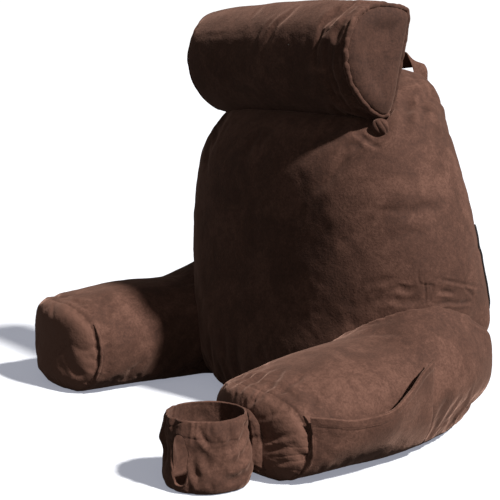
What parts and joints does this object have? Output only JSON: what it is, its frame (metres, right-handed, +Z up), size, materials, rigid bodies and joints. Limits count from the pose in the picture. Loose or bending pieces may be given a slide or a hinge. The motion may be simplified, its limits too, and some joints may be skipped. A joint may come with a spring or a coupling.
{
  "type": "reading pillow with arms",
  "caption": "Filled plush backrest pillow with two forward arms, half-moon neck roll, carry strap, side pocket and cup holder sleeve.",
  "frame": {"origin": "middle of the backrest's flat base, on the surface that the pillow rests on", "axes": "+Z up; +Y from the reader's lap towards the backrest's rear; +X towards the arm with the pocket and the cup holder"},
  "size_m": [0.7336, 0.5967, 0.5705],
  "materials": {
    "plush": "short dense brown plush with a soft sheen, its nap brushed into lighter and darker patches",
    "zip": "near-black woven tape"
  },
  "bodies": {
    "root": {"backrest": "plush", "arm_right": "plush", "arm_left": "plush", "neck_roll": "plush", "carry_strap": "plush", "roll_tab": "plush", "side_pocket": "plush", "cup_holder": "plush", "cup_back_panel": "plush", "zip_strip": "zip"}
  },
  "joints": []
}
